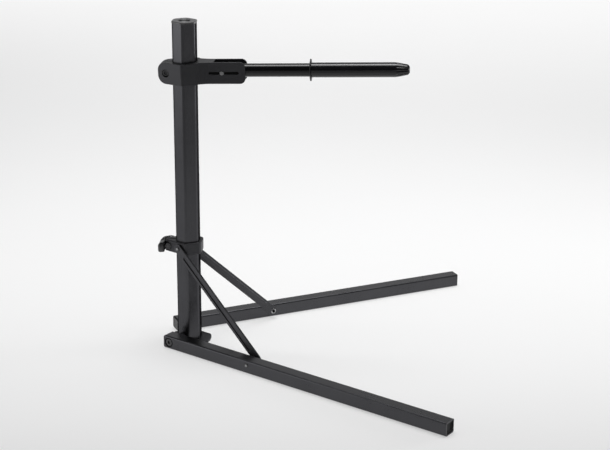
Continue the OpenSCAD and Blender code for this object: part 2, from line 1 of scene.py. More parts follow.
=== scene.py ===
"""Dresses the folding bike repair stand: builds its pieces, finishes them, and sets up the studio."""

import logging
import math
from dataclasses import dataclass, field
from enum import Enum
from typing import Callable, Sequence

import bmesh
import bpy
from mathutils import Matrix, Vector


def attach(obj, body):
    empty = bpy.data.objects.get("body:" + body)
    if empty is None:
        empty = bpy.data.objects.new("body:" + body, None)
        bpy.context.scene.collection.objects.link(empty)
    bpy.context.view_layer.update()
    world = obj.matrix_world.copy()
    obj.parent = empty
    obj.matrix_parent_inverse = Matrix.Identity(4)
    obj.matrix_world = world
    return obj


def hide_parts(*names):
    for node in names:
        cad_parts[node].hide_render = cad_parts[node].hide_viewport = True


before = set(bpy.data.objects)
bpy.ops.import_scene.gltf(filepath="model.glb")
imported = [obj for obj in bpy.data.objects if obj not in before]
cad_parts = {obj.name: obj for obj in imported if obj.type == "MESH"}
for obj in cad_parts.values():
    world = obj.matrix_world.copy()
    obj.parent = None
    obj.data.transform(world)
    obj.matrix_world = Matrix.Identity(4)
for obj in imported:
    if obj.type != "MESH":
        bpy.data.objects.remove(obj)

LOG = logging.getLogger("repair_stand")
MM = 0.001
TO_METRES = Matrix.Scale(MM, 4)
QUARTER = math.pi / 2
LEG_TURN = math.radians(30)
# Face mark read by the finishes: above zero on rubbed edges (wear), below zero where shade is painted into
# hollows.
WEAR_AND_SHADE_MARK = "wear_and_shade_mark"
SMOOTH_BELOW = math.radians(32)
CUT_PAST = 1.0
POLE = 0.01

Mesh = bpy.types.Mesh
Object = bpy.types.Object
Material = bpy.types.Material
Socket = bpy.types.NodeSocket
Point2 = tuple[float, float]
Triple = tuple[float, float, float]
Colour = Triple
Dress = Callable[[Object], None]


class Body(Enum):
    """The moving bodies of the stand."""

    POST = "post"
    SLIDER = "slider"
    LEVER = "lever"
    CLAMP = "clamp"
    ARM = "arm"
    RIGHT_LEG = "right_leg"
    LEFT_LEG = "left_leg"
    RIGHT_BRACE = "right_brace"
    LEFT_BRACE = "left_brace"


class Slot(Enum):
    """The material slots of the part."""

    EXTRUSION = "black_extrusion"
    CASTING = "black_casting"
    STRUT = "black_strut"
    ROD = "gloss_rod"
    SLEEVE = "gloss_sleeve"
    LEVER = "gloss_lever"
    PLASTIC = "black_plastic"
    RUBBER = "black_rubber"
    DARK_STEEL = "dark_steel"
    BRIGHT_STEEL = "bright_steel"


class Side(Enum):
    """The two legs: the right one lies on the -Y side, the left one on the +Y side."""

    RIGHT = -1
    LEFT = 1

    @property
    def word(self) -> str:
        """The side's name as the parts use it."""
        return self.name.lower()

    def frame(self) -> Matrix:
        """The leg's frame in millimetres: x along the leg, y outward from the post, z up.

        Returns:
            The frame, which also turns millimetres into metres.
        """
        along = Vector((math.cos(LEG_TURN), self.value * math.sin(LEG_TURN), 0))
        outward = Vector((-math.sin(LEG_TURN), self.value * math.cos(LEG_TURN), 0))
        return TO_METRES @ Matrix((along, outward, Vector((0, 0, 1)))).transposed().to_4x4()


# Nodes


class NodeBuilder:
    """Adds connected nodes to a node tree."""

    def __init__(self, tree: bpy.types.NodeTree) -> None:
        """Keeps the tree to add to."""
        self.tree = tree

    def put(self, socket: Socket, value: object) -> None:
        """Links an input, or sets its value.

        Args:
            socket: The input.
            value: The socket that it reads, or its value.
        """
        if isinstance(value, Socket):
            self.tree.links.new(value, socket)
        else:
            socket.default_value = value

    def add(self, kind: str, settings: dict[str, object] | None = None, **links: object) -> bpy.types.Node:
        """Adds a node and connects it.

        Args:
            kind: The node's type.
            settings: Properties of the node.
            links: Inputs by name, or by number after an underscore, each a socket or a value.

        Returns:
            The node.
        """
        node = self.tree.nodes.new(kind)
        for key, value in (settings or {}).items():
            setattr(node, key, value)
        for key, value in links.items():
            name = int(key[1:]) if key[0] == "_" else key.replace("_", " ")
            self.put(node.inputs[name], value)
        return node

    def math(self, operation: str, first: object, second: object = 0.0, clamp: bool = False) -> Socket:
        """One step of arithmetic on sockets or numbers, which can be kept between 0 and 1."""
        settings = {"operation": operation, "use_clamp": clamp}
        return self.add("ShaderNodeMath", settings, _0=first, _1=second).outputs[0]


class Shading(NodeBuilder):
    """Adds connected nodes to a material."""

    noise_middle: Point2 = (0.3, 0.7)

    def noise(self, place: Socket, scale: float, detail: float) -> Socket:
        """A noise pattern with its repeats per metre and its number of finer octaves."""
        return self.add("ShaderNodeTexNoise", Vector=place, Scale=scale, Detail=detail).outputs["Fac"]

    def between(self, value: Socket, low: float, high: float) -> Socket:
        """A noise value whose middle is stretched over a range."""
        start, end = self.noise_middle
        return self.ramp(value, start, end, low, high)

    def ramp(
        self, value: Socket, start: float, end: float, low: float, high: float, **settings: str,
    ) -> Socket:
        """A value that goes from low to high between two points of another one."""
        spans = {"From_Min": start, "From_Max": end, "To_Min": low, "To_Max": high}
        return self.add("ShaderNodeMapRange", settings, Value=value, **spans).outputs["Result"]

    def mix(self, share: Socket, first: Socket, colour: Colour) -> Socket:
        """A colour with a share of another one in it."""
        blend = self.add("ShaderNodeMix", {"data_type": "RGBA"}, Factor=share, A=first, B=(*colour, 1.0))
        return blend.outputs["Result"]


# Finishes


@dataclass(frozen=True)
class Finish:
    """A black finish with fine grain, slow tone changes, lightly rubbed edges and painted shade in hollows.

    The wear-and-shade mark of a mesh is above zero on its rubbed edges and below zero in its hollows, where
    shade is painted. The grain can run along one axis, as on an extrusion. Scales of the patterns are per
    metre.
    """

    name: str
    colour: Colour
    rough: float
    metallic: float = 0.0
    specular: float = 0.5
    rim: float = 1.0
    tone_change: float = 0.25
    rough_change: float = 0.06
    cloud_scale: float = 28.0
    cloud_detail: float = 4.0
    grain_scale: float = 2600.0
    grain_detail: float = 3.0
    grain_bump: float = 0.08
    grain_depth: float = 0.0002
    grain_turn: Triple = (0.0, 0.0, 0.0)
    grain_stretch: float = 1.0
    rub_colour: Colour = (0.16, 0.16, 0.17)
    rub: float = 0.5
    rub_scale: float = 9.0
    rub_detail: float = 5.0
    rub_patches: Point2 = (-0.9, 1.7)
    # Colour of the shade painted into hollows.
    painted_shade_colour: Colour = (0.004, 0.004, 0.004)

    def material(self) -> Material:
        """The material, which is built at its first use."""
        return bpy.data.materials.get(self.name) or self._build()

    def _build(self) -> Material:
        """Builds the node tree.

        Returns:
            The new material.
        """
        material = bpy.data.materials.new(self.name)
        material.use_nodes = True
        nodes = Shading(material.node_tree)
        place = nodes.add("ShaderNodeTexCoord").outputs["Object"]
        along = nodes.add(
            "ShaderNodeMapping", {"vector_type": "TEXTURE"}, Vector=place, Rotation=self.grain_turn,
            Scale=(self.grain_stretch, 1.0, 1.0),
        ).outputs["Vector"]
        cloud = nodes.noise(place, self.cloud_scale, self.cloud_detail)
        grain = nodes.noise(along, self.grain_scale, self.grain_detail)
        bump = nodes.add("ShaderNodeBump", Strength=self.grain_bump, Distance=self.grain_depth, Height=grain)
        inputs = {
            "Metallic": self.metallic,
            "Specular IOR Level": self.specular,
            "Specular Tint": (self.rim, self.rim, self.rim, 1.0),
            "Base Color": self._base_colour(nodes, place, cloud, grain),
            "Roughness": nodes.math(
                "ADD", nodes.between(grain, self.rough - self.rough_change, self.rough + self.rough_change),
                nodes.between(cloud, -self.rough_change, self.rough_change),
            ),
            "Normal": bump.outputs["Normal"],
        }
        shader = material.node_tree.nodes["Principled BSDF"]
        for name, value in inputs.items():
            nodes.put(shader.inputs[name], value)
        return material

    def _base_colour(self, nodes: Shading, place: Socket, cloud: Socket, grain: Socket) -> Socket:
        """Adds the colour with its tone changes, rubbed edges and painted shade in hollows.

        Args:
            nodes: The material's nodes.
            place: The coordinates to read.
            cloud: The slow noise.
            grain: The fine noise.

        Returns:
            The colour.
        """
        tone = nodes.between(cloud, 1.0 - self.tone_change, 1.0 + self.tone_change)
        fine = nodes.between(grain, 1.0 - self.tone_change / 2, 1.0 + self.tone_change / 2)
        shade = nodes.math("MULTIPLY", tone, fine)
        base = nodes.add("ShaderNodeVectorMath", {"operation": "SCALE"}, _0=self.colour, Scale=shade)
        # The wear-and-shade mark: rubbed edges above zero, painted shade in hollows below zero.
        edge = nodes.add("ShaderNodeAttribute", {"attribute_name": WEAR_AND_SHADE_MARK}).outputs["Fac"]
        patches = nodes.noise(place, self.cloud_scale * self.rub_scale, self.rub_detail)
        rubbed = nodes.math("MULTIPLY", edge, nodes.between(patches, *self.rub_patches))
        rubbed = nodes.math("MULTIPLY", rubbed, self.rub, clamp=True)
        # Painted shade: the colour goes towards the painted shade colour where the mark is below zero.
        hollow = nodes.math("MULTIPLY", edge, -1.0, clamp=True)
        worn = nodes.mix(rubbed, base.outputs["Vector"], self.rub_colour)
        return nodes.mix(hollow, worn, self.painted_shade_colour)


def extrusion(name: str, turn: Triple, colour: Colour, rim: float = 1.0) -> Finish:
    """The satin black anodised finish of the drawn tubes.

    Args:
        name: The material's name.
        turn: Rotation that lays the die lines along the tube.
        colour: The finish's colour.
        rim: How much of the shine at a glancing view is left.

    Returns:
        The finish.
    """
    return Finish(
        name, colour, rough=0.30, metallic=1.0, grain_turn=turn, grain_stretch=260.0, grain_scale=5200.0,
        tone_change=0.06, rough_change=0.03, rim=rim,
    )


POST_BLACK = extrusion("post_anodised", (0.0, QUARTER, 0.0), (0.071, 0.071, 0.076), rim=0.15)
# The right leg, the nearer one, is a shade darker than the left: a copy of the same anodising darkened as
# painted shade.
LEG_BLACK = {
    Side.RIGHT: extrusion("right_leg_anodised_painted_shade", (0.0, 0.0, -LEG_TURN), (0.069, 0.069, 0.074)),
    Side.LEFT: extrusion("left_leg_anodised", (0.0, 0.0, LEG_TURN), (0.072, 0.072, 0.077)),
}
CAST_BLACK = Finish(
    "forging_coat", (0.055, 0.055, 0.059), rough=0.45, metallic=0.84, grain_scale=1500.0, grain_bump=0.14,
    tone_change=0.12, rim=0.9,
)
STRUT_BLACK = Finish(
    "strut_coat", (0.067, 0.067, 0.072), rough=0.34, metallic=0.9, grain_scale=1300.0, grain_bump=0.14,
    tone_change=0.12,
)
ROD_BLACK = Finish(
    "rod_gloss", (0.004, 0.004, 0.0045), rough=0.11, specular=0.42, grain_scale=3000.0, grain_bump=0.02,
    rough_change=0.03, tone_change=0.3, rub=0.15,
)
SLEEVE_BLACK = Finish(
    "sleeve_gloss", (0.006, 0.006, 0.007), rough=0.16, grain_scale=1800.0, grain_bump=0.03, rough_change=0.04,
    tone_change=0.3, rub=0.15,
)
LEVER_BLACK = Finish(
    "lever_moulding", (0.026, 0.026, 0.027), rough=0.28, specular=0.85, grain_scale=1800.0, grain_bump=0.04,
    rub=0.25,
)
PLASTIC_BLACK = Finish(
    "plastic_moulding", (0.022, 0.022, 0.024), rough=0.42, grain_scale=1400.0, grain_bump=0.2, rub=0.25,
)
CAP_BLACK = Finish(
    "cap_moulding", (0.065, 0.065, 0.068), rough=0.38, specular=0.9, grain_scale=1400.0, grain_bump=0.15,
    rub=0.25,
)
PLUG_BLACK = Finish(
    "plug_moulding", (0.010, 0.010, 0.011), rough=0.55, specular=0.2, grain_scale=1400.0, rub=0.25,
)
RUBBER_BLACK = Finish(
    "ring_rubber", (0.008, 0.008, 0.009), rough=0.5, grain_scale=2400.0, grain_bump=0.12, rub=0.1,
)
DARK_STEEL = Finish(
    "oxide_steel", (0.09, 0.09, 0.093), rough=0.36, metallic=0.85, rub_colour=(0.3, 0.3, 0.31),
)
# Its painted shade colour darkens the ring round the peened rivet domes, a painted shadow.
PIN_STEEL = Finish(
    "pin_steel", (0.27, 0.27, 0.275), rough=0.4, metallic=1.0, painted_shade_colour=(0.02, 0.02, 0.021),
)
BRIGHT_STEEL = Finish(
    "zinc_steel", (0.40, 0.40, 0.41), rough=0.36, metallic=1.0, rub_colour=(0.5, 0.5, 0.51),
)


# Meshes


def arc(steps: int, start: float = 0.0, sweep: float = QUARTER) -> list[Point2]:
    """Cosine and sine at equal steps of an arc, with both its ends."""
    angles = [start + sweep * step / steps for step in range(steps + 1)]
    return [(math.cos(angle), math.sin(angle)) for angle in angles]


def circle(steps: int) -> list[Point2]:
    """Cosine and sine at equal steps of a circle, once around."""
    return arc(steps, 0.0, 4 * QUARTER)[:-1]


def hex_reach(angle: float, across: float, corner: float) -> float:
    """Distance from a rounded hexagon's middle to its outline.

    Args:
        angle: Direction in radians; a flat faces +X.
        across: Width across the flats.
        corner: Rounding of the corners.

    Returns:
        The distance.
    """
    half, turn = across / 2, math.radians(30)
    off = abs((angle + turn) % (2 * turn) - turn)
    if off <= math.atan((half - corner) * math.tan(turn) / half):
        return half / math.cos(off)
    far, left = (half - corner) / math.cos(turn), turn - off
    return far * math.cos(left) + math.sqrt(corner ** 2 - (far * math.sin(left)) ** 2)


def round_square(width: float, corner: float, steps: int = 5) -> list[Point2]:
    """The outline of a square with rounded corners.

    Args:
        width: Side of the square.
        corner: Rounding of its corners.
        steps: Pieces of each corner's arc.

    Returns:
        The points, anticlockwise.
    """
    points, reach = [], width / 2 - corner
    for quarter, (right, up) in enumerate(((1, 1), (-1, 1), (-1, -1), (1, -1))):
        for cosine, sine in arc(steps, quarter * QUARTER):
            points.append((right * reach + corner * cosine, up * reach + corner * sine))
    return points


def finished(shape: bmesh.types.BMesh, name: str) -> Mesh:
    """Makes a closed shape a mesh, with its faces pointing outwards.

    Args:
        shape: The shape, which is freed.
        name: The mesh's name.

    Returns:
        The mesh.
    """
    bmesh.ops.recalc_face_normals(shape, faces=shape.faces)
    mesh = bpy.data.meshes.new(name)
    shape.to_mesh(mesh)
    shape.free()
    return mesh


def loft(rings: Sequence[Sequence[Vector]], merge: float = 1e-5) -> Mesh:
    """A closed skin over rings of equally many points, with flat ends.

    Args:
        rings: The rings from one end to the other.
        merge: Points nearer than this become one.

    Returns:
        The mesh.
    """
    shape = bmesh.new()
    rows = [[shape.verts.new(point) for point in ring] for ring in rings]
    count = len(rows[0])
    for low, high in zip(rows, rows[1:]):
        for i in range(count):
            j = (i + 1) % count
            shape.faces.new((low[i], low[j], high[j], high[i]))
    shape.faces.new(list(reversed(rows[0])))
    shape.faces.new(rows[-1])
    bmesh.ops.remove_doubles(shape, verts=shape.verts, dist=merge)
    return finished(shape, "loft")


def lathe(profile: Sequence[Point2], steps: int) -> Mesh:
    """A closed shape turned about the X axis, from pairs of position and radius and a number of facets."""
    turns = circle(steps)
    return loft([[Vector((x, r * cosine, r * sine)) for cosine, sine in turns] for x, r in profile])


def turned_ring(profile: Sequence[Point2], steps: int) -> Mesh:
    """A ring turned about the X axis from a closed profile.

    Args:
        profile: Pairs of position along X and radius, once around the section.
        steps: Facets around.

    Returns:
        The mesh.
    """
    shape = bmesh.new()
    rows = []
    for cosine, sine in circle(steps):
        rows.append([shape.verts.new((x, r * cosine, r * sine)) for x, r in profile])
    for i, row in enumerate(rows):
        following = rows[(i + 1) % steps]
        for j in range(len(profile)):
            k = (j + 1) % len(profile)
            shape.faces.new((row[j], row[k], following[k], following[j]))
    return finished(shape, "ring")


def placed(mesh: Mesh, matrix: Matrix) -> Mesh:
    """Puts a mesh in its place and keeps its faces pointing outwards.

    Args:
        mesh: The mesh in its own frame.
        matrix: The frame to put it in.

    Returns:
        The same mesh.
    """
    mesh.transform(matrix)
    if matrix.determinant() < 0:
        mesh.flip_normals()
    return mesh


def settle(mesh: Mesh, *dress: Dress) -> Mesh:
    """Runs modifiers on a mesh and keeps the result as a plain mesh.

    Args:
        mesh: The mesh to start from.
        dress: Functions that each add modifiers to the working object.

    Returns:
        The finished mesh.
    """
    work = bpy.data.objects.new("work", mesh)
    bpy.context.scene.collection.objects.link(work)
    for add in dress:
        add(work)
    bpy.context.view_layer.update()
    graph = bpy.context.evaluated_depsgraph_get()
    result = bpy.data.meshes.new_from_object(work.evaluated_get(graph), depsgraph=graph)
    bpy.data.objects.remove(work)
    return result


def bevelled(width: float, segments: int = 3, angle: float = 28.0) -> Dress:
    """A modifier that rounds the edges and marks the new faces.

    Args:
        width: Width of the rounding, in metres.
        segments: Steps of the rounding.
        angle: Least angle of a rounded edge, in degrees.

    Returns:
        The function that adds it.
    """

    def add(work: Object) -> None:
        """Adds the modifier.

        Args:
            work: The working object.
        """
        bevel = work.modifiers.new("edges", "BEVEL")
        bevel.width = width
        bevel.segments = segments
        bevel.limit_method = "ANGLE"
        bevel.angle_limit = math.radians(angle)
        bevel.use_clamp_overlap = False
        bevel.miter_outer = "MITER_ARC"
        bevel.material = 1

    return add


def cut_by(*cutters: Mesh, join: bool = False) -> Dress:
    """Modifiers that cut shapes away, or join them on.

    Args:
        cutters: The shapes, in the same frame as the mesh.
        join: Whether they are joined on.

    Returns:
        The function that adds them.
    """

    def add(work: Object) -> None:
        """Adds the modifiers.

        Args:
            work: The working object.
        """
        for cutter in cutters:
            cut = work.modifiers.new("cut", "BOOLEAN")
            cut.operation = "UNION" if join else "DIFFERENCE"
            cut.solver = "EXACT"
            cut.object = bpy.data.objects.new("cutter", cutter)

    return add


def weighted(work: Object) -> None:
    """Adds shading normals that keep flat faces flat.

    Args:
        work: The working object.
    """
    normals = work.modifiers.new("normals", "WEIGHTED_NORMAL")
    normals.keep_sharp = True
    normals.weight = 60


def solid_copy(node: str, merge: float = 2e-6, least: float = 1e-6, flat: float = 0.6) -> Mesh:
    """A merged copy of a part's solid, with flat areas joined.

    Args:
        node: The part's name.
        merge: Points nearer than this, in metres, become one.
        least: Shorter edges, in metres, are taken out.
        flat: Greatest angle between faces that are joined, in degrees.

    Returns:
        The copy.
    """
    shape = bmesh.new()
    shape.from_mesh(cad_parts[node].data)
    bmesh.ops.remove_doubles(shape, verts=shape.verts, dist=merge)
    bmesh.ops.dissolve_degenerate(shape, edges=shape.edges, dist=least)
    bmesh.ops.dissolve_limit(shape, angle_limit=math.radians(flat), verts=shape.verts, edges=shape.edges)
    mesh = bpy.data.meshes.new(node)
    shape.to_mesh(mesh)
    shape.free()
    return mesh


def softened(node: str, rounding: float) -> Mesh:
    """A copy of a part's solid with rounded edges.

    Args:
        node: The part's name.
        rounding: Width of the rounding, in millimetres.

    Returns:
        The mesh.
    """
    mesh = settle(solid_copy(node), bevelled(rounding * MM))
    mark = mesh.attributes.new(WEAR_AND_SHADE_MARK, "FLOAT", "FACE")
    mark.data.foreach_set("value", [float(face.material_index) for face in mesh.polygons])
    return mesh


def add_piece(name: str, mesh: Mesh, body: Body, finish: Finish, node: str) -> None:
    """Makes a finished piece that stands for a part of the frame.

    Args:
        name: The piece's name.
        mesh: Its mesh, in place, in metres.
        body: The body that it moves with.
        finish: Its finish.
        node: The part it stands for.
    """
    mesh.polygons.foreach_set("material_index", [0] * len(mesh.polygons))
    mesh.shade_smooth()
    mesh.set_sharp_from_angle(angle=SMOOTH_BELOW)
    mesh = settle(mesh, weighted)
    mesh.name = name
    mesh.materials.clear()
    mesh.materials.append(finish.material())
    piece = bpy.data.objects.new(name, mesh)
    bpy.context.scene.collection.objects.link(piece)
    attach(piece, body.value)
    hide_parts(node)
    LOG.info("%s rides on %s: %d faces", name, body.value, len(mesh.polygons))


def add_softened(name: str, node: str, rounding: float, body: Body, finish: Finish) -> None:
    """Makes a finished piece that is a part's own solid with rounded edges, in millimetres."""
    add_piece(name, softened(node, rounding), body, finish, node)


# Geometry Nodes


class Recipe(NodeBuilder):
    """A Geometry Nodes tree with named inputs that makes one plain mesh."""

    def __init__(self, name: str, **inputs: float | int) -> None:
        """Starts the tree.

        Args:
            name: The tree's name.
            inputs: The named inputs with their values.
        """
        super().__init__(bpy.data.node_groups.new(name, "GeometryNodeTree"))
        sockets = self.tree.interface
        sockets.new_socket("Geometry", in_out="INPUT", socket_type="NodeSocketGeometry")
        self.values: dict[str, float | int] = {}
        for label, value in inputs.items():
            kind = "NodeSocketInt" if isinstance(value, int) else "NodeSocketFloat"
            socket = sockets.new_socket(label, in_out="INPUT", socket_type=kind)
            self.values[socket.identifier] = value
        sockets.new_socket("Geometry", in_out="OUTPUT", socket_type="NodeSocketGeometry")
        self.source = self.add("NodeGroupInput")
        self.target = self.add("NodeGroupOutput")

    def given(self, label: str) -> Socket:
        """The value of a named input."""
        return self.source.outputs[label]

    def vector(self, **parts: object) -> Socket:
        """A vector from its X, Y and Z parts."""
        return self.add("ShaderNodeCombineXYZ", **parts).outputs[0]

    def within(self, value: Socket) -> Socket:
        """A value kept between 0 and 1."""
        return self.math("MINIMUM", self.math("MAXIMUM", value, 0.0), 1.0)

    def spot(self) -> Sequence[Socket]:
        """The X, Y and Z of each point."""
        return self.add("ShaderNodeSeparateXYZ", _0=self.add("GeometryNodeInputPosition").outputs[0]).outputs

    def join(self, *parts: Socket) -> Socket:
        """Joins geometry.

        Args:
            parts: The geometry to join.

        Returns:
            The joined geometry.
        """
        node = self.add("GeometryNodeJoinGeometry")
        for part in parts:
            self.put(node.inputs[0], part)
        return node.outputs[0]

    def bake(self, geometry: Socket, finish: Finish, start: Mesh | None = None) -> Mesh:
        """Ends the tree and makes its result a plain mesh.

        Args:
            geometry: The geometry to keep.
            finish: The finish to set on it.
            start: The mesh that the tree reads.

        Returns:
            The mesh.
        """
        real = self.add("GeometryNodeRealizeInstances", Geometry=geometry)
        coat = self.add("GeometryNodeSetMaterial", Geometry=real.outputs[0], Material=finish.material())
        self.put(self.target.inputs[0], coat.outputs[0])

        def add(work: Object) -> None:
            """Adds the tree to the working object with its inputs set.

            Args:
                work: The working object.
            """
            modifier = work.modifiers.new("recipe", "NODES")
            modifier.node_group = self.tree
            for identifier, value in self.values.items():
                modifier[identifier] = value

        return settle(start or bpy.data.meshes.new("start"), add)


def drawn_tube(sides: int, across: float, corner: float, wall: float, length: float, finish: Finish) -> Mesh:
    """A straight extruded tube along +Z with rounded corners, hollow and closed at its rims.

    Args:
        sides: Number of flats; one faces +X.
        across: Width across the flats.
        corner: Outer rounding of the corners.
        wall: Thickness of the wall.
        length: Length of the tube.
        finish: Its finish.

    Returns:
        The mesh, in the unit of its sizes.
    """
    corner_steps, least_corner, merge = 7, 0.2, 1e-4
    tube = Recipe("drawn_tube", Sides=sides, Across=across, Corner=corner, Wall=wall, Length=length)
    turn = tube.math("DIVIDE", math.pi, tube.given("Sides"))
    lean = tube.math("COSINE", turn)
    spin = tube.vector(Z=turn)

    def outline(across_now: Socket, corner_now: Socket) -> Socket:
        """One rounded outline.

        Args:
            across_now: Its width across the flats.
            corner_now: Its rounding.

        Returns:
            The curve.
        """
        reach = tube.math("DIVIDE", tube.math("MULTIPLY", across_now, 0.5), lean)
        ring = tube.add("GeometryNodeCurvePrimitiveCircle", Resolution=tube.given("Sides"), Radius=reach)
        turned = tube.add("GeometryNodeTransform", Geometry=ring.outputs[0], Rotation=spin).outputs[0]
        return tube.add(
            "GeometryNodeFilletCurve", {"mode": "POLY"}, Curve=turned, Count=corner_steps, Radius=corner_now,
        ).outputs[0]

    inner_across = tube.math("SUBTRACT", tube.given("Across"), tube.math("MULTIPLY", tube.given("Wall"), 2.0))
    inner_corner = tube.math("SUBTRACT", tube.given("Corner"), tube.given("Wall"))
    inner = outline(inner_across, tube.math("MAXIMUM", inner_corner, least_corner))
    outer = outline(tube.given("Across"), tube.given("Corner"))
    section = tube.add("GeometryNodeFillCurve", Curve=tube.join(outer, inner)).outputs[0]
    drawn = tube.add(
        "GeometryNodeExtrudeMesh", Mesh=section, Offset=(0.0, 0.0, 1.0), Offset_Scale=tube.given("Length"),
        Individual=False,
    ).outputs[0]
    start = tube.add("GeometryNodeFlipFaces", Mesh=section).outputs[0]
    closed = tube.add("GeometryNodeMergeByDistance", Geometry=tube.join(drawn, start), Distance=merge)
    return tube.bake(closed.outputs[0], finish)


@dataclass(frozen=True)
class Rivet:
    """One rivet or pin: where its head sits and how far its shank goes in."""

    place: Vector
    facing: Vector
    shank: float


@dataclass(frozen=True)
class RivetHead:
    """A domed head, whose core is a share of its width and is sunk by a share of its height.

    A shade mark below zero paints shade on the core, or on the ring around it.
    """

    width: float
    crown: float
    core: float
    sink: float
    core_shade_mark: float
    ring_mark: float
    core_edge: float = 14.0
    segments: int = 40
    rings: int = 32


# The eyelet's sunk core is painted dark as the shade inside its hole; the peened head's ring round its dome
# is painted darker as its shadow.
EYELET = RivetHead(7.0, 0.9, core=0.6, sink=0.8, core_shade_mark=-1.0, ring_mark=0.0)
PEENED = RivetHead(6.4, 0.9, core=0.52, sink=0.0, core_shade_mark=0.0, ring_mark=-0.8)


def riveted(rivets: Sequence[Rivet], diameter: float, head: RivetHead, finish: Finish) -> Mesh:
    """Rivets of one size, each standing on its place and facing out.

    Args:
        rivets: The rivets; their shanks have one length.
        diameter: Diameter of the shank.
        head: Their head.
        finish: Their finish.

    Returns:
        The mesh, in the unit of its sizes.
    """
    shank_sides = 32
    points = bpy.data.meshes.new("rivet_places")
    points.from_pydata([rivet.place for rivet in rivets], [], [])
    facing = points.attributes.new("facing", "FLOAT_VECTOR", "POINT")
    for i, rivet in enumerate(rivets):
        facing.data[i].vector = rivet.facing
    row = Recipe(
        "rivet_row", Diameter=diameter, Head=head.width, Crown=head.crown, Shank=rivets[0].shank,
        Core=head.core, Sink=head.sink, CoreShadeMark=head.core_shade_mark, RingShadeMark=head.ring_mark,
        CoreEdge=head.core_edge, Segments=head.segments, Rings=head.rings,
    )
    ball = row.add(
        "GeometryNodeMeshUVSphere", Segments=row.given("Segments"), Rings=row.given("Rings"), Radius=0.5,
    )
    spot = row.spot()
    out = row.math("SQRT", row.math("ADD", row.math("POWER", spot[0], 2.0), row.math("POWER", spot[1], 2.0)))
    inside = row.math("SUBTRACT", row.math("MULTIPLY", row.given("Core"), 0.5), out)
    core = row.within(row.math("MULTIPLY", inside, row.given("CoreEdge")))
    core = row.math("MULTIPLY", core, row.math("GREATER_THAN", spot[2], 0.0))
    # Marks below zero paint shade: on the eyelet's core and on the ring round the peened dome.
    core_shade_mark = row.math("MULTIPLY", core, row.given("CoreShadeMark"))
    ring_mark = row.math("MULTIPLY", row.math("SUBTRACT", 1.0, core), row.given("RingShadeMark"))
    marked = row.add(
        "GeometryNodeStoreNamedAttribute", {"data_type": "FLOAT", "domain": "POINT"},
        Geometry=ball.outputs[0], Name=WEAR_AND_SHADE_MARK, Value=row.math("ADD", core_shade_mark, ring_mark),
    )
    sink = row.vector(Z=row.math("MULTIPLY", row.math("MULTIPLY", core, row.given("Sink")), -0.5))
    pressed = row.add("GeometryNodeSetPosition", Geometry=marked.outputs[0], Offset=sink)
    tall = row.math("MULTIPLY", row.given("Crown"), 2.0)
    flat = row.vector(X=row.given("Head"), Y=row.given("Head"), Z=tall)
    dome = row.add("GeometryNodeTransform", Geometry=pressed.outputs[0], Scale=flat)
    half = row.math("MULTIPLY", row.given("Diameter"), 0.5)
    bar = row.add("GeometryNodeMeshCylinder", Vertices=shank_sides, Radius=half, Depth=row.given("Shank"))
    down = row.vector(Z=row.math("MULTIPLY", row.given("Shank"), -0.5))
    shank = row.add("GeometryNodeTransform", Geometry=bar.outputs[0], Translation=down)
    way = row.add("GeometryNodeInputNamedAttribute", {"data_type": "FLOAT_VECTOR"}, Name="facing")
    turn = row.add("FunctionNodeAlignRotationToVector", {"axis": "Z"}, Vector=way.outputs[0])
    spread = row.add(
        "GeometryNodeInstanceOnPoints", Points=row.given("Geometry"),
        Instance=row.join(dome.outputs[0], shank.outputs[0]), Rotation=turn.outputs[0],
    )
    return row.bake(spread.outputs[0], finish, points)


# Sub-assemblies


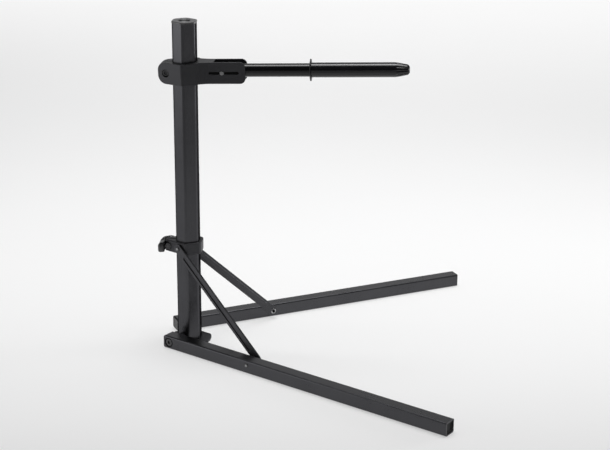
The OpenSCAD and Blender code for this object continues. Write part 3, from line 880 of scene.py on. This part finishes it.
@dataclass
class PostAssembly:
    """The hexagonal post with its cap, its base plate and the legs' hinge bolts. Sizes in millimetres.

    The plug's lead is the width taken off at its end, the corner there and the height. The dish's floor is
    given by the width taken off and the height at each step.
    """

    across: float = 28.0
    corner: float = 4.8
    wall: float = 2.0
    foot: float = 3.0
    top: float = 404.4
    cap_lip: float = 0.6
    cap_corner: float = 7.0
    cap_height: float = 2.2
    cap_round: float = 1.1
    cap_chamfer: float = 0.25
    plug_length: float = 12.0
    plug_clear: float = 0.2
    plug_corner: float = 2.8
    plug_lead: Triple = (1.0, 2.4, 0.6)
    dish_width: float = 13.0
    dish_depth: float = 2.6
    dish_round: float = 2.0
    dish_floor: tuple[Point2, ...] = ((0.4, 0.6), (1.8, 0.0), (11.0, 0.0))
    arc_steps: int = 6
    ring_points: int = 96

    def build(self) -> None:
        """Builds and dresses the post's pieces."""
        body = Body.POST
        tube = drawn_tube(6, self.across, self.corner, self.wall, self.top - self.foot, POST_BLACK)
        tube = placed(tube, TO_METRES @ Matrix.Translation((0, 0, self.foot)))
        add_piece("post_extrusion", tube, body, POST_BLACK, "post_tube")
        add_piece("post_cap", self.cap_mesh(), body, CAP_BLACK, "top_cap")
        add_softened("base_plate", "base_bracket", 0.7, body, CAST_BLACK)
        add_softened("leg_hinge_bolts", "hinge_bolts", 0.45, body, DARK_STEEL)
        add_softened("leg_spacers", "hinge_spacers", 0.3, body, DARK_STEEL)
        add_softened("leg_washers", "hinge_washers", 0.2, body, PLASTIC_BLACK)

    def cap_mesh(self) -> Mesh:
        """The cap: a plug in the tube, a rounded rim and a dished middle.

        Returns:
            The mesh, in place.
        """
        rim, top = self.across + 2 * self.cap_lip, self.top + self.cap_height
        bore, under = self.across - 2 * self.wall - self.plug_clear, self.top - self.plug_length
        taken, corner, height = self.plug_lead
        outside = [
            (bore - taken, corner, under), (bore, self.plug_corner, under + height),
            (bore, self.plug_corner, self.top), (rim - 2 * self.cap_chamfer, self.cap_corner, self.top),
            (rim, self.cap_corner, self.top + self.cap_chamfer),
        ]
        dish = []
        for cosine, sine in arc(self.arc_steps):
            inset, sunk = self.cap_round * (1 - cosine), self.cap_round * (1 - sine)
            outside.append((rim - 2 * inset, self.cap_corner - inset, top - sunk))
            spread, drop = self.dish_round * (1 - sine), self.dish_round * (1 - cosine)
            dish.append((self.dish_width + 2 * spread, top - drop))
        for taken, height in self.dish_floor:
            dish.append((self.dish_width - taken, top - self.dish_depth + height))
        turns, rings = circle(self.ring_points), []
        for across, corner, height in outside:
            reaches = [hex_reach(math.atan2(sine, cosine), across, corner) for cosine, sine in turns]
            ring = zip(reaches, turns)
            rings.append([Vector((reach * cosine, reach * sine, height)) for reach, (cosine, sine) in ring])
        for across, height in dish:
            rings.append([Vector((across / 2 * cosine, across / 2 * sine, height)) for cosine, sine in turns])
        return placed(loft(rings), TO_METRES)


@dataclass
class LegAssembly:
    """One square leg with its hinge block, end plug and strut pin. Sizes in millimetres, in the leg's frame.

    The plug's face is given by the width taken off, the corner and the depth at each step, from its rim
    inwards.
    """

    side: Side
    width: float = 16.6
    edge: float = 2.0
    wall: float = 1.6
    back: float = 8.0
    reach: float = 400.0
    middle: float = 33.05
    end_corner: float = 2.5
    window: float = 12.6
    pivot: float = 122.0
    pivot_height: float = 10.2
    pin: float = 4.5
    pin_clear: float = 0.1
    pin_inner: float = 20.95
    plug_length: float = 16.0
    plug_sink: float = 0.8
    plug_clear: float = 0.2
    plug_face: tuple[Triple, ...] = (
        (0.0, 0.8, 0.7), (0.4, 0.8, 0.2), (1.2, 0.8, 0.0), (3.2, 0.8, 0.0), (4.0, 0.8, 0.25), (4.4, 0.7, 0.8),
        (7.0, 0.6, 0.9),
    )

    def build(self) -> None:
        """Builds and dresses the leg's pieces."""
        word, body, finish = self.side.word, Body[f"{self.side.name}_LEG"], LEG_BLACK[self.side]
        tube = self.tube_mesh(finish)
        add_piece(f"{word}_leg_extrusion", tube, body, finish, f"{word}_leg_tube")
        add_softened(f"{word}_leg_block", f"{word}_hinge_block", 0.5, body, PLASTIC_BLACK)
        add_piece(f"{word}_leg_end", self.plug_mesh(), body, PLUG_BLACK, f"{word}_leg_plug")
        outer = self.middle + self.width / 2
        place = Vector((self.pivot, outer, self.pivot_height))
        rivet = Rivet(place, Vector((0, 1, 0)), outer - self.pin_inner)
        pin = placed(riveted([rivet], self.pin, PEENED, PIN_STEEL), self.side.frame())
        add_piece(f"{word}_leg_rivet", pin, body, PIN_STEEL, f"{word}_leg_pin")

    def tube_mesh(self, finish: Finish) -> Mesh:
        """The leg's tube with its hinge window, strut hole and rounded hinge end.

        Args:
            finish: The tube's finish.

        Returns:
            The mesh, in place.
        """
        tube = drawn_tube(4, self.width, self.edge, self.wall, self.back + self.reach, finish)
        lie = Matrix.Translation((-self.back, self.middle, self.width / 2)) @ Matrix.Rotation(QUARTER, 4, "Y")
        tube = placed(tube, lie)
        across = Matrix.Rotation(QUARTER, 4, "Z")
        window = lathe([(0.0, self.window / 2), (self.width, self.window / 2)], 64)
        window = placed(window, Matrix.Translation((0, self.middle, self.width / 2)) @ across)
        radius = (self.pin + self.pin_clear) / 2
        hole = lathe([(-self.width, radius), (self.width, radius)], 32)
        hole = placed(hole, Matrix.Translation((self.pivot, self.middle, self.pivot_height)) @ across)
        tube = settle(tube, cut_by(window, hole, self.end_waste(False), self.end_waste(True)))
        return placed(tube, self.side.frame())

    def end_waste(self, up: bool) -> Mesh:
        """What the rounding of the hinge end takes away at one corner.

        Args:
            up: Whether it is the upper corner.

        Returns:
            The cutter in the leg's frame.
        """
        corner = self.end_corner
        section = [(-CUT_PAST, corner)]
        section += [(corner + corner * cosine, corner + corner * sine) for cosine, sine in arc(8, math.pi)]
        section += [(corner, -CUT_PAST), (-CUT_PAST, -CUT_PAST)]
        rings = []
        for y in (self.middle - self.width, self.middle + self.width):
            rings.append([Vector((x - self.back, y, self.width - z if up else z)) for x, z in section])
        return loft(rings)

    def plug_mesh(self) -> Mesh:
        """The end plug, with a rounded face and a shallow square recess.

        Returns:
            The mesh, in place.
        """
        width = self.width - 2 * self.wall - self.plug_clear
        face = self.reach - self.plug_sink
        first = (*self.plug_face[0][:2], self.plug_length)
        rings = []
        for taken, corner, depth in (first, *self.plug_face):
            square = round_square(width - taken, corner)
            rings.append([Vector((face - depth, self.middle + y, self.width / 2 + z)) for y, z in square])
        return placed(loft(rings), self.side.frame())


@dataclass
class BraceAssembly:
    """One pressed strut and its lower rivet. Sizes in millimetres, in the leg's frame."""

    side: Side
    inner: float = 18.1
    pivot: float = 122.0
    pivot_height: float = 10.2
    rivet: float = 4.5
    thickness: float = 2.4

    def build(self) -> None:
        """Builds and dresses the strut and its rivet."""
        word, body = self.side.word, Body[f"{self.side.name}_BRACE"]
        add_softened(f"{word}_pressed_strut", f"{word}_strut", 0.4, body, STRUT_BLACK)
        place = Vector((self.pivot, self.inner, self.pivot_height))
        rivet = riveted([Rivet(place, Vector((0, -1, 0)), self.thickness)], self.rivet, EYELET, BRIGHT_STEEL)
        rivet = placed(rivet, self.side.frame())
        add_piece(f"{word}_brace_rivet", rivet, body, BRIGHT_STEEL, f"{word}_strut_rivet")


@dataclass
class SliderAssembly:
    """The sliding collar with its strut rivets, release bolt and lever pin. Sizes in millimetres."""

    rivet: float = 4.5
    rivet_seat: float = 20.8
    rivet_inner: float = 14.6
    pivot: float = -0.4
    height: float = 125.6

    def build(self) -> None:
        """Builds and dresses the slider's pieces."""
        body = Body.SLIDER
        add_softened("sliding_collar", "slider_collar", 0.4, body, CAST_BLACK)
        mesh = placed(riveted(self.rivets(), self.rivet, PEENED, PIN_STEEL), TO_METRES)
        add_piece("collar_rivets", mesh, body, PIN_STEEL, "slider_rivets")
        add_softened("eye_bolt", "release_bolt", 0.3, body, DARK_STEEL)
        add_softened("eye_bolt_nut", "release_nut", 0.35, body, DARK_STEEL)
        add_softened("cam_pin", "lever_pin", 0.3, body, BRIGHT_STEEL)

    def rivets(self) -> list[Rivet]:
        """The rivets that carry the struts' upper ends.

        Returns:
            One rivet for each side.
        """
        rivets = []
        for side in Side:
            turn = side.frame().to_3x3().normalized()
            place = turn @ Vector((self.pivot, self.rivet_seat, 0)) + Vector((0, 0, self.height))
            rivets.append(Rivet(place, turn @ Vector((0, 1, 0)), self.rivet_seat - self.rivet_inner))
        return rivets


@dataclass
class ReleaseLever:
    """The quick-release lever: a cam on its pin and a curved handle round the collar's tail.

    Sizes are in millimetres. The handle follows an arc about its centre, with angles in degrees. It swells
    towards its tip between two parts of that arc.
    """

    pin: Point2 = (-24.0, 11.2)
    pin_hole: float = 3.1
    bottom: float = 119.6
    height: float = 12.0
    cam: float = 9.4
    cam_round: float = 0.7
    centre: Point2 = (-13.9, -6.29)
    inner: float = 18.6
    thick: float = 3.2
    start: float = 116.0
    sweep: float = 76.0
    crown: float = 1.6
    swell_from: float = 0.4
    swell_to: float = 0.68
    tip_thick: float = 8.6
    tip_out: float = 0.95
    tip_down: float = 1.4
    tip_round: float = 2.6
    tip_level: float = 0.375
    tip_least: float = 0.05
    tail_room: float = -28.35
    far_left: float = -36.7
    shoulder: float = 7.0
    toe: float = 2.0
    eye_room: float = 6.6
    eye_height: float = 5.6
    bolt_room: float = 2.3
    steps: int = 30
    section_points: int = 64
    section_bend: float = 0.42

    def build(self) -> None:
        """Builds and dresses the lever."""
        body = settle(self.cam_mesh(), cut_by(self.handle_mesh(), join=True))
        body = settle(body, cut_by(*self.cutters()))
        add_piece("cam_lever", placed(body, TO_METRES), Body.LEVER, LEVER_BLACK, "release_lever")

    def upright(self, profile: Sequence[Point2]) -> Mesh:
        """A shape turned about the pin, from pairs of height and radius."""
        stand = Matrix.Translation((*self.pin, 0)) @ Matrix.Rotation(-QUARTER, 4, "Y")
        return placed(lathe(profile, 48), stand)

    def cam_mesh(self) -> Mesh:
        """The cam, a disc with rounded edges.

        Returns:
            The mesh.
        """
        radius, top = self.cam / 2, self.bottom + self.height
        edge = []
        for cosine, sine in reversed(arc(5)):
            edge.append((self.cam_round * (1 - sine), radius - self.cam_round * (1 - cosine)))
        below = [(self.bottom + inset, reach) for inset, reach in edge]
        above = [(top - inset, reach) for inset, reach in reversed(edge)]
        return self.upright(below + above)

    def handle_mesh(self) -> Mesh:
        """The curved handle, which thickens to a rounded finger tip.

        Returns:
            The mesh.
        """
        rings = [self.section(step / self.steps, 1.0) for step in range(self.steps + 1)]
        ahead = math.degrees(self.tip_round / (self.inner + self.thick / 2)) / self.sweep
        for cosine, sine in arc(8)[1:]:
            rings.append(self.section(1.0 + ahead * sine, max(self.tip_least, cosine)))
        return loft(rings)

    def section(self, part: float, full: float) -> list[Vector]:
        """One upright section of the handle.

        Args:
            part: Where it stands on the handle's arc, from 0 at the cam to 1 before the tip's rounding.
            full: Share of the full section, less than 1 towards the tip.

        Returns:
            Its points, once around.
        """
        turn = math.radians(self.start + self.sweep * part)
        way = Vector((math.cos(turn), math.sin(turn)))
        grown = min(1.0, max(0.0, (part - self.swell_from) / (self.swell_to - self.swell_from)))
        swell = grown ** 2 * (3 - 2 * grown)
        thick = self.thick + swell * (self.tip_thick - self.thick)
        middle = self.inner + self.thick + swell * self.tip_out - thick / 2
        bottom = self.bottom - self.tip_down * min(1.0, part) ** 2
        top = self.bottom + self.height + self.crown * math.sin(math.pi * min(1.0, part / self.swell_to))
        core = Vector((*(Vector(self.centre) + middle * way), bottom + self.height * self.tip_level))
        points = []
        for turns in circle(self.section_points):
            out, up = (math.copysign(abs(value) ** self.section_bend, value) for value in turns)
            x, y = Vector(self.centre) + (middle + out * thick / 2) * way
            if swell > 0:
                x = min(x, self.tail_room + (1 - swell) * self.thick)
            inset = max(0.0, x - self.far_left)
            z = (bottom + top) / 2 + up * (top - bottom) / 2
            z = min(z, top - self.drop(inset, self.shoulder))
            z = max(z, bottom + self.drop(inset, self.toe))
            points.append(core.lerp(Vector((x, y, z)), full))
        return points

    @staticmethod
    def drop(inset: float, corner: float) -> float:
        """How far a rounded corner lies under its edge, at a distance in from its side."""
        return corner - math.sqrt(max(0.0, corner ** 2 - max(0.0, corner - inset) ** 2))

    def cutters(self) -> list[Mesh]:
        """What is cut away for the pin and the bolt's eye.

        Returns:
            The cutters.
        """
        top, middle = self.bottom + self.height, self.bottom + self.height / 2
        low, high = middle - self.eye_height / 2, middle + self.eye_height / 2
        hole = self.upright([(z, self.pin_hole / 2) for z in (self.bottom - CUT_PAST, top + CUT_PAST)])
        room = self.upright([(z, self.eye_room / 2) for z in (low, high)])
        left, right = self.pin[0] - self.bolt_room, self.pin[0] + self.cam
        near, far = self.pin[1] - self.cam / 2 - CUT_PAST, self.pin[1] + self.bolt_room
        outline = ((left, near), (right, near), (right, far), (left, far))
        slot = loft([[Vector((x, y, z)) for x, y in outline] for z in (low, high)])
        return [hole, room, slot]


@dataclass
class ArmClamp:
    """The clamp and fork that carry the arm, with bolt, nut and pivot pin. Millimetres along the arm."""

    arm: Matrix
    groove_middle: float = 47.8
    groove_half: float = 18.2
    groove_height: float = 1.6
    groove_span: Point2 = (8.4, 10.0)

    def build(self) -> None:
        """Builds and dresses the clamp's pieces."""
        body, clamp = Body.CLAMP, softened("arm_clamp", 0.45)
        self.paint_groove_shade(clamp)
        add_piece("fork_clamp", clamp, body, CAST_BLACK, "arm_clamp")
        add_softened("clamp_screw", "clamp_bolt", 0.4, body, DARK_STEEL)
        add_softened("clamp_screw_nut", "clamp_nut", 0.4, body, DARK_STEEL)
        add_softened("fork_pin", "pivot_pin", 0.15, body, PIN_STEEL)

    def paint_groove_shade(self, mesh: Mesh) -> None:
        """Paints shade on the faces in the fork's groove by marking them below zero.

        Args:
            mesh: The clamp's mesh, in place.
        """
        back = self.arm.inverted()
        low, high = self.groove_span
        for face, mark in zip(mesh.polygons, mesh.attributes[WEAR_AND_SHADE_MARK].data):
            x, y, z = back @ face.center
            along = abs(x - self.groove_middle) < self.groove_half
            if along and abs(z) < self.groove_height and low < abs(y) < high:
                # Painted shade in the groove.
                mark.value = -1.0


@dataclass
class Arm:
    """The arm: rod, stop ring and sleeve with its fluted nose. Sizes in millimetres along the arm."""

    height: float = 344.9
    tilt: float = 2.0
    rise: float = 1.3
    rod: float = 16.0
    rod_clear: float = 0.1
    ring_at: float = 149.8
    ring_thick: float = 1.2
    ring_across: float = 26.6
    sleeve_across: float = 17.6
    sleeve_from: float = 151.0
    sleeve_edge: float = 0.3
    bore_short: float = 0.2
    nose_from: float = 249.3
    nose_lead: Point2 = (4.0, 1.0)
    nose_length: float = 17.8
    nose_across: float = 13.2
    nose_round: float = 4.6
    nose_bow: float = 1.35
    nose_steps: int = 26
    flutes: int = 10
    flute_depth: float = 0.75
    flute_from: float = 1.0
    flute_fade: float = 4.0
    flute_bend: float = 1.6

    def frame(self) -> Matrix:
        """The fork's frame: x along the arm, with its origin on the post's axis."""
        tilt = Matrix.Rotation(-math.radians(self.tilt), 4, "Y")
        return TO_METRES @ Matrix.Translation((0, 0, self.height)) @ tilt

    def rod_frame(self) -> Matrix:
        """The rod's frame, a little above the fork's."""
        return self.frame() @ Matrix.Translation((0, 0, self.rise))

    def build(self) -> None:
        """Builds and dresses the arm's pieces."""
        body = Body.ARM
        add_softened("arm_bar", "arm_rod", 0.5, body, ROD_BLACK)
        add_piece("arm_ring", self.ring_mesh(), body, RUBBER_BLACK, "stop_ring")
        add_piece("axle_sleeve", self.sleeve_mesh(), body, SLEEVE_BLACK, "arm_sleeve")

    def ring_mesh(self) -> Mesh:
        """The thin stop ring, with a rounded rim.

        Returns:
            The mesh, in place.
        """
        half, bore = self.ring_thick / 2, (self.rod + self.rod_clear) / 2
        middle, rim = self.ring_at + half, self.ring_across / 2 - half
        section = [(middle - half, bore)]
        section += [(middle + half * cosine, rim + half * sine) for cosine, sine in arc(8, math.pi, -math.pi)]
        section.append((middle + half, bore))
        return placed(turned_ring(section, 96), self.rod_frame())

    def sleeve_mesh(self) -> Mesh:
        """The sleeve: a tube over the rod with a closed nose that has flutes pressed into it.

        Returns:
            The mesh, in place.
        """
        outer, bore, tip = self.sleeve_across / 2, (self.rod + self.rod_clear) / 2, self.nose_across / 2
        deep, end = self.nose_from - self.bore_short, self.nose_from + self.nose_length
        start, edge = self.sleeve_from, self.sleeve_edge
        profile = [(deep, POLE), (deep, bore), (start, bore), (start, outer - edge), (start + edge, outer)]
        profile += [(self.nose_from - lead, outer) for lead in self.nose_lead]
        for step in range(self.nose_steps + 1):
            part = step / self.nose_steps
            x = self.nose_from + part * (self.nose_length - self.nose_round)
            profile.append((x, outer - (outer - tip) * part ** self.nose_bow))
        for cosine, sine in arc(8)[1:]:
            profile.append((end - self.nose_round * (1 - sine), tip - self.nose_round * (1 - cosine)))
        profile.append((end, POLE))
        return placed(self.fluted(lathe(profile, 160)), self.rod_frame())

    def fluted(self, smooth: Mesh) -> Mesh:
        """Presses the flutes into the nose.

        Args:
            smooth: The turned sleeve, along X.

        Returns:
            The fluted mesh.
        """
        press = Recipe(
            "nose_flutes", Flutes=self.flutes, Depth=self.flute_depth, Start=self.nose_from + self.flute_from,
            Fade=self.flute_fade, Bend=self.flute_bend,
        )
        x, y, z = press.spot()
        around = press.math("MULTIPLY", press.math("ARCTAN2", z, y), press.given("Flutes"))
        wave = press.math("COSINE", around)
        groove = press.math("POWER", press.math("MAXIMUM", wave, 0.0), press.given("Bend"))
        ahead = press.math("DIVIDE", press.math("SUBTRACT", x, press.given("Start")), press.given("Fade"))
        share = press.math("MULTIPLY", groove, press.within(ahead))
        depth = press.math("MULTIPLY", share, press.given("Depth"))
        away = press.add("ShaderNodeVectorMath", {"operation": "NORMALIZE"}, _0=press.vector(Y=y, Z=z))
        move = press.add(
            "ShaderNodeVectorMath", {"operation": "SCALE"}, _0=away.outputs[0],
            Scale=press.math("MULTIPLY", depth, -1.0),
        )
        sleeve = press.given("Geometry")
        pressed = press.add("GeometryNodeSetPosition", Geometry=sleeve, Offset=move.outputs[0])
        return press.bake(pressed.outputs[0], SLEEVE_BLACK, smooth)


# Studio


@dataclass(frozen=True)
class SoftBox:
    """A soft lamp: its place, where it points, its size in metres, power in watts and spread in degrees."""

    name: str
    place: Triple
    aim: Triple
    size: Point2
    power: float
    spread: float = 180.0

    def hang(self) -> None:
        """Adds the lamp to the scene."""
        lamp = bpy.data.lights.new(self.name, "AREA")
        lamp.shape = "RECTANGLE"
        lamp.size, lamp.size_y = self.size
        lamp.energy = self.power
        lamp.spread = math.radians(self.spread)
        stand = bpy.data.objects.new(self.name, lamp)
        stand.location = self.place
        stand.rotation_euler = (Vector(self.aim) - Vector(self.place)).to_track_quat("-Z", "Y").to_euler()
        stand.visible_camera = False
        bpy.context.scene.collection.objects.link(stand)


@dataclass(frozen=True)
class PaintedLightPatch:
    """How much painted light, a glow, is mixed into the floor, by the distance from a point, in metres."""

    centre: Triple
    near: float
    far: float
    painted_light_near: float
    painted_light_far: float

    def amount(self, nodes: Shading, place: Socket) -> Socket:
        """The amount of painted light at a place, from 0 to 1."""
        away = nodes.add("ShaderNodeVectorMath", {"operation": "DISTANCE"}, _0=place, _1=self.centre)
        spans = (self.near, self.far, self.painted_light_near, self.painted_light_far)
        return nodes.ramp(away.outputs["Value"], *spans, interpolation_type="SMOOTHSTEP")


@dataclass
class Studio:
    """The pale floor, the soft lamps and the camera, in metres and degrees, with the picture in pixels."""

    eye: Triple = (0.3209, -1.7562, 0.7736)
    yaw: float = 5.73
    pitch: float = 19.24
    roll: float = 0.44
    focal_pixels: float = 1531.0
    frame_width: float = 610.0
    sensor: float = 36.0
    sight: float = 100.0
    floor_reach: float = 12.0
    floor_gap: float = 0.0002
    floor: Finish = Finish(
        "floor_paint", (0.86, 0.86, 0.86), rough=0.9, specular=0.1, tone_change=0.012, grain_bump=0.0,
        cloud_scale=2.0, rub=0.0,
    )
    # Painted light: the floor glows more or less by the distance from these points, and the stand's
    # reflections show that glow too.
    near_painted_light: PaintedLightPatch = PaintedLightPatch((0.05, 1.3, 0.0), 1.3, 2.2, 0.5, 0.17)
    far_painted_light: PaintedLightPatch = PaintedLightPatch((0.0, 0.0, 0.0), 1.2, 3.6, 0.0, 0.62)
    world_colour: Colour = (0.06, 0.06, 0.062)
    boxes: list[SoftBox] = field(default_factory=lambda: [
        SoftBox("overhead", (0.15, 1.0, 2.0), (0.15, 0.95, 0.0), (2.2, 2.7), 13.5, 80.0),
        SoftBox("rod_strip", (0.2, 0.3, 2.0), (0.2, 0.25, 0.0), (1.8, 0.3), 1.6, 50.0),
        SoftBox("back_panel", (0.1, 2.7, 1.1), (0.1, 0.0, 0.6), (3.2, 1.6), 8.0),
        SoftBox("far_box", (0.1, 2.75, 2.0), (0.1, 2.7, 0.0), (3.4, 1.2), 8.0, 80.0),
        SoftBox("left_box", (-1.12, -0.55, 0.38), (0.0, 0.0, 0.2), (0.8, 0.7), 1.15, 100.0),
        SoftBox("right_strip", (1.6, 0.66, 0.4), (0.0, 0.0, 0.2), (0.5, 0.7), 2.6, 90.0),
    ])

    def build(self) -> None:
        """Sets up the floor, the lamps, the world and the camera."""
        self.lay_floor()
        for box in self.boxes:
            box.hang()
        world = bpy.data.worlds.new("studio")
        world.use_nodes = True
        world.node_tree.nodes["Background"].inputs["Color"].default_value = (*self.world_colour, 1.0)
        scene = bpy.context.scene
        scene.world = world
        scene.view_settings.view_transform = "Standard"
        scene.camera = self.camera()

    def lay_floor(self) -> None:
        """Lays the floor just under the stand."""
        reach = self.floor_reach
        mesh = bpy.data.meshes.new("floor")
        corners = [(-reach, -reach, 0), (reach, -reach, 0), (reach, reach, 0), (-reach, reach, 0)]
        mesh.from_pydata(corners, [], [range(len(corners))])
        mesh.materials.append(self.with_painted_light(self.floor.material()))
        floor = bpy.data.objects.new("floor", mesh)
        bpy.context.scene.collection.objects.link(floor)
        floor.location.z = -self.floor_gap

    def with_painted_light(self, material: Material) -> Material:
        """Paints light into the floor: an uneven glow mixed into what the camera and reflections see of it,
        which keeps a part of its shade near the stand.

        Args:
            material: The floor's material.

        Returns:
            The same material.
        """
        nodes = Shading(material.node_tree)
        rays = nodes.add("ShaderNodeLightPath").outputs
        seen = nodes.math("ADD", rays["Is Camera Ray"], rays["Is Glossy Ray"])
        seen = nodes.math("ADD", seen, rays["Is Transmission Ray"], clamp=True)
        place = nodes.add("ShaderNodeTexCoord").outputs["Object"]
        near, far = self.near_painted_light.amount(nodes, place), self.far_painted_light.amount(nodes, place)
        share = nodes.math("MULTIPLY", seen, nodes.math("ADD", near, far, clamp=True))
        paint = nodes.tree.nodes["Principled BSDF"].outputs[0]
        painted_glow = nodes.add("ShaderNodeEmission").outputs[0]
        mix = nodes.add("ShaderNodeMixShader", _0=share, _1=paint, _2=painted_glow)
        nodes.put(nodes.tree.nodes["Material Output"].inputs["Surface"], mix.outputs[0])
        material.cycles.emission_sampling = "NONE"
        return material

    def camera(self) -> Object:
        """Makes the camera at the photograph's place.

        Returns:
            The camera.
        """
        yaw, pitch, roll = (math.radians(angle) for angle in (self.yaw, self.pitch, self.roll))
        ahead = Vector((-math.sin(yaw) * math.cos(pitch), math.cos(yaw) * math.cos(pitch), -math.sin(pitch)))
        right = Vector((math.cos(yaw), math.sin(yaw), 0))
        up = right.cross(ahead)
        right, up = math.cos(roll) * right + math.sin(roll) * up, math.cos(roll) * up - math.sin(roll) * right
        data = bpy.data.cameras.new("camera")
        data.sensor_width = self.sensor
        data.sensor_fit = "HORIZONTAL"
        data.lens = self.sensor * self.focal_pixels / self.frame_width
        data.clip_end = self.sight
        camera = bpy.data.objects.new("camera", data)
        turn = Matrix((right, up, -ahead)).transposed().to_4x4()
        camera.matrix_world = Matrix.Translation(self.eye) @ turn
        bpy.context.scene.collection.objects.link(camera)
        return camera


def main() -> None:
    """Builds the stand and the studio; each piece's face count is logged."""
    logging.basicConfig(level=logging.INFO, format="%(message)s")
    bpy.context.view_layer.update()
    PostAssembly().build()
    for side in Side:
        LegAssembly(side).build()
        BraceAssembly(side).build()
    SliderAssembly().build()
    ReleaseLever().build()
    arm = Arm()
    ArmClamp(arm.frame()).build()
    arm.build()
    Studio().build()


if __name__ == "__main__":
    main()
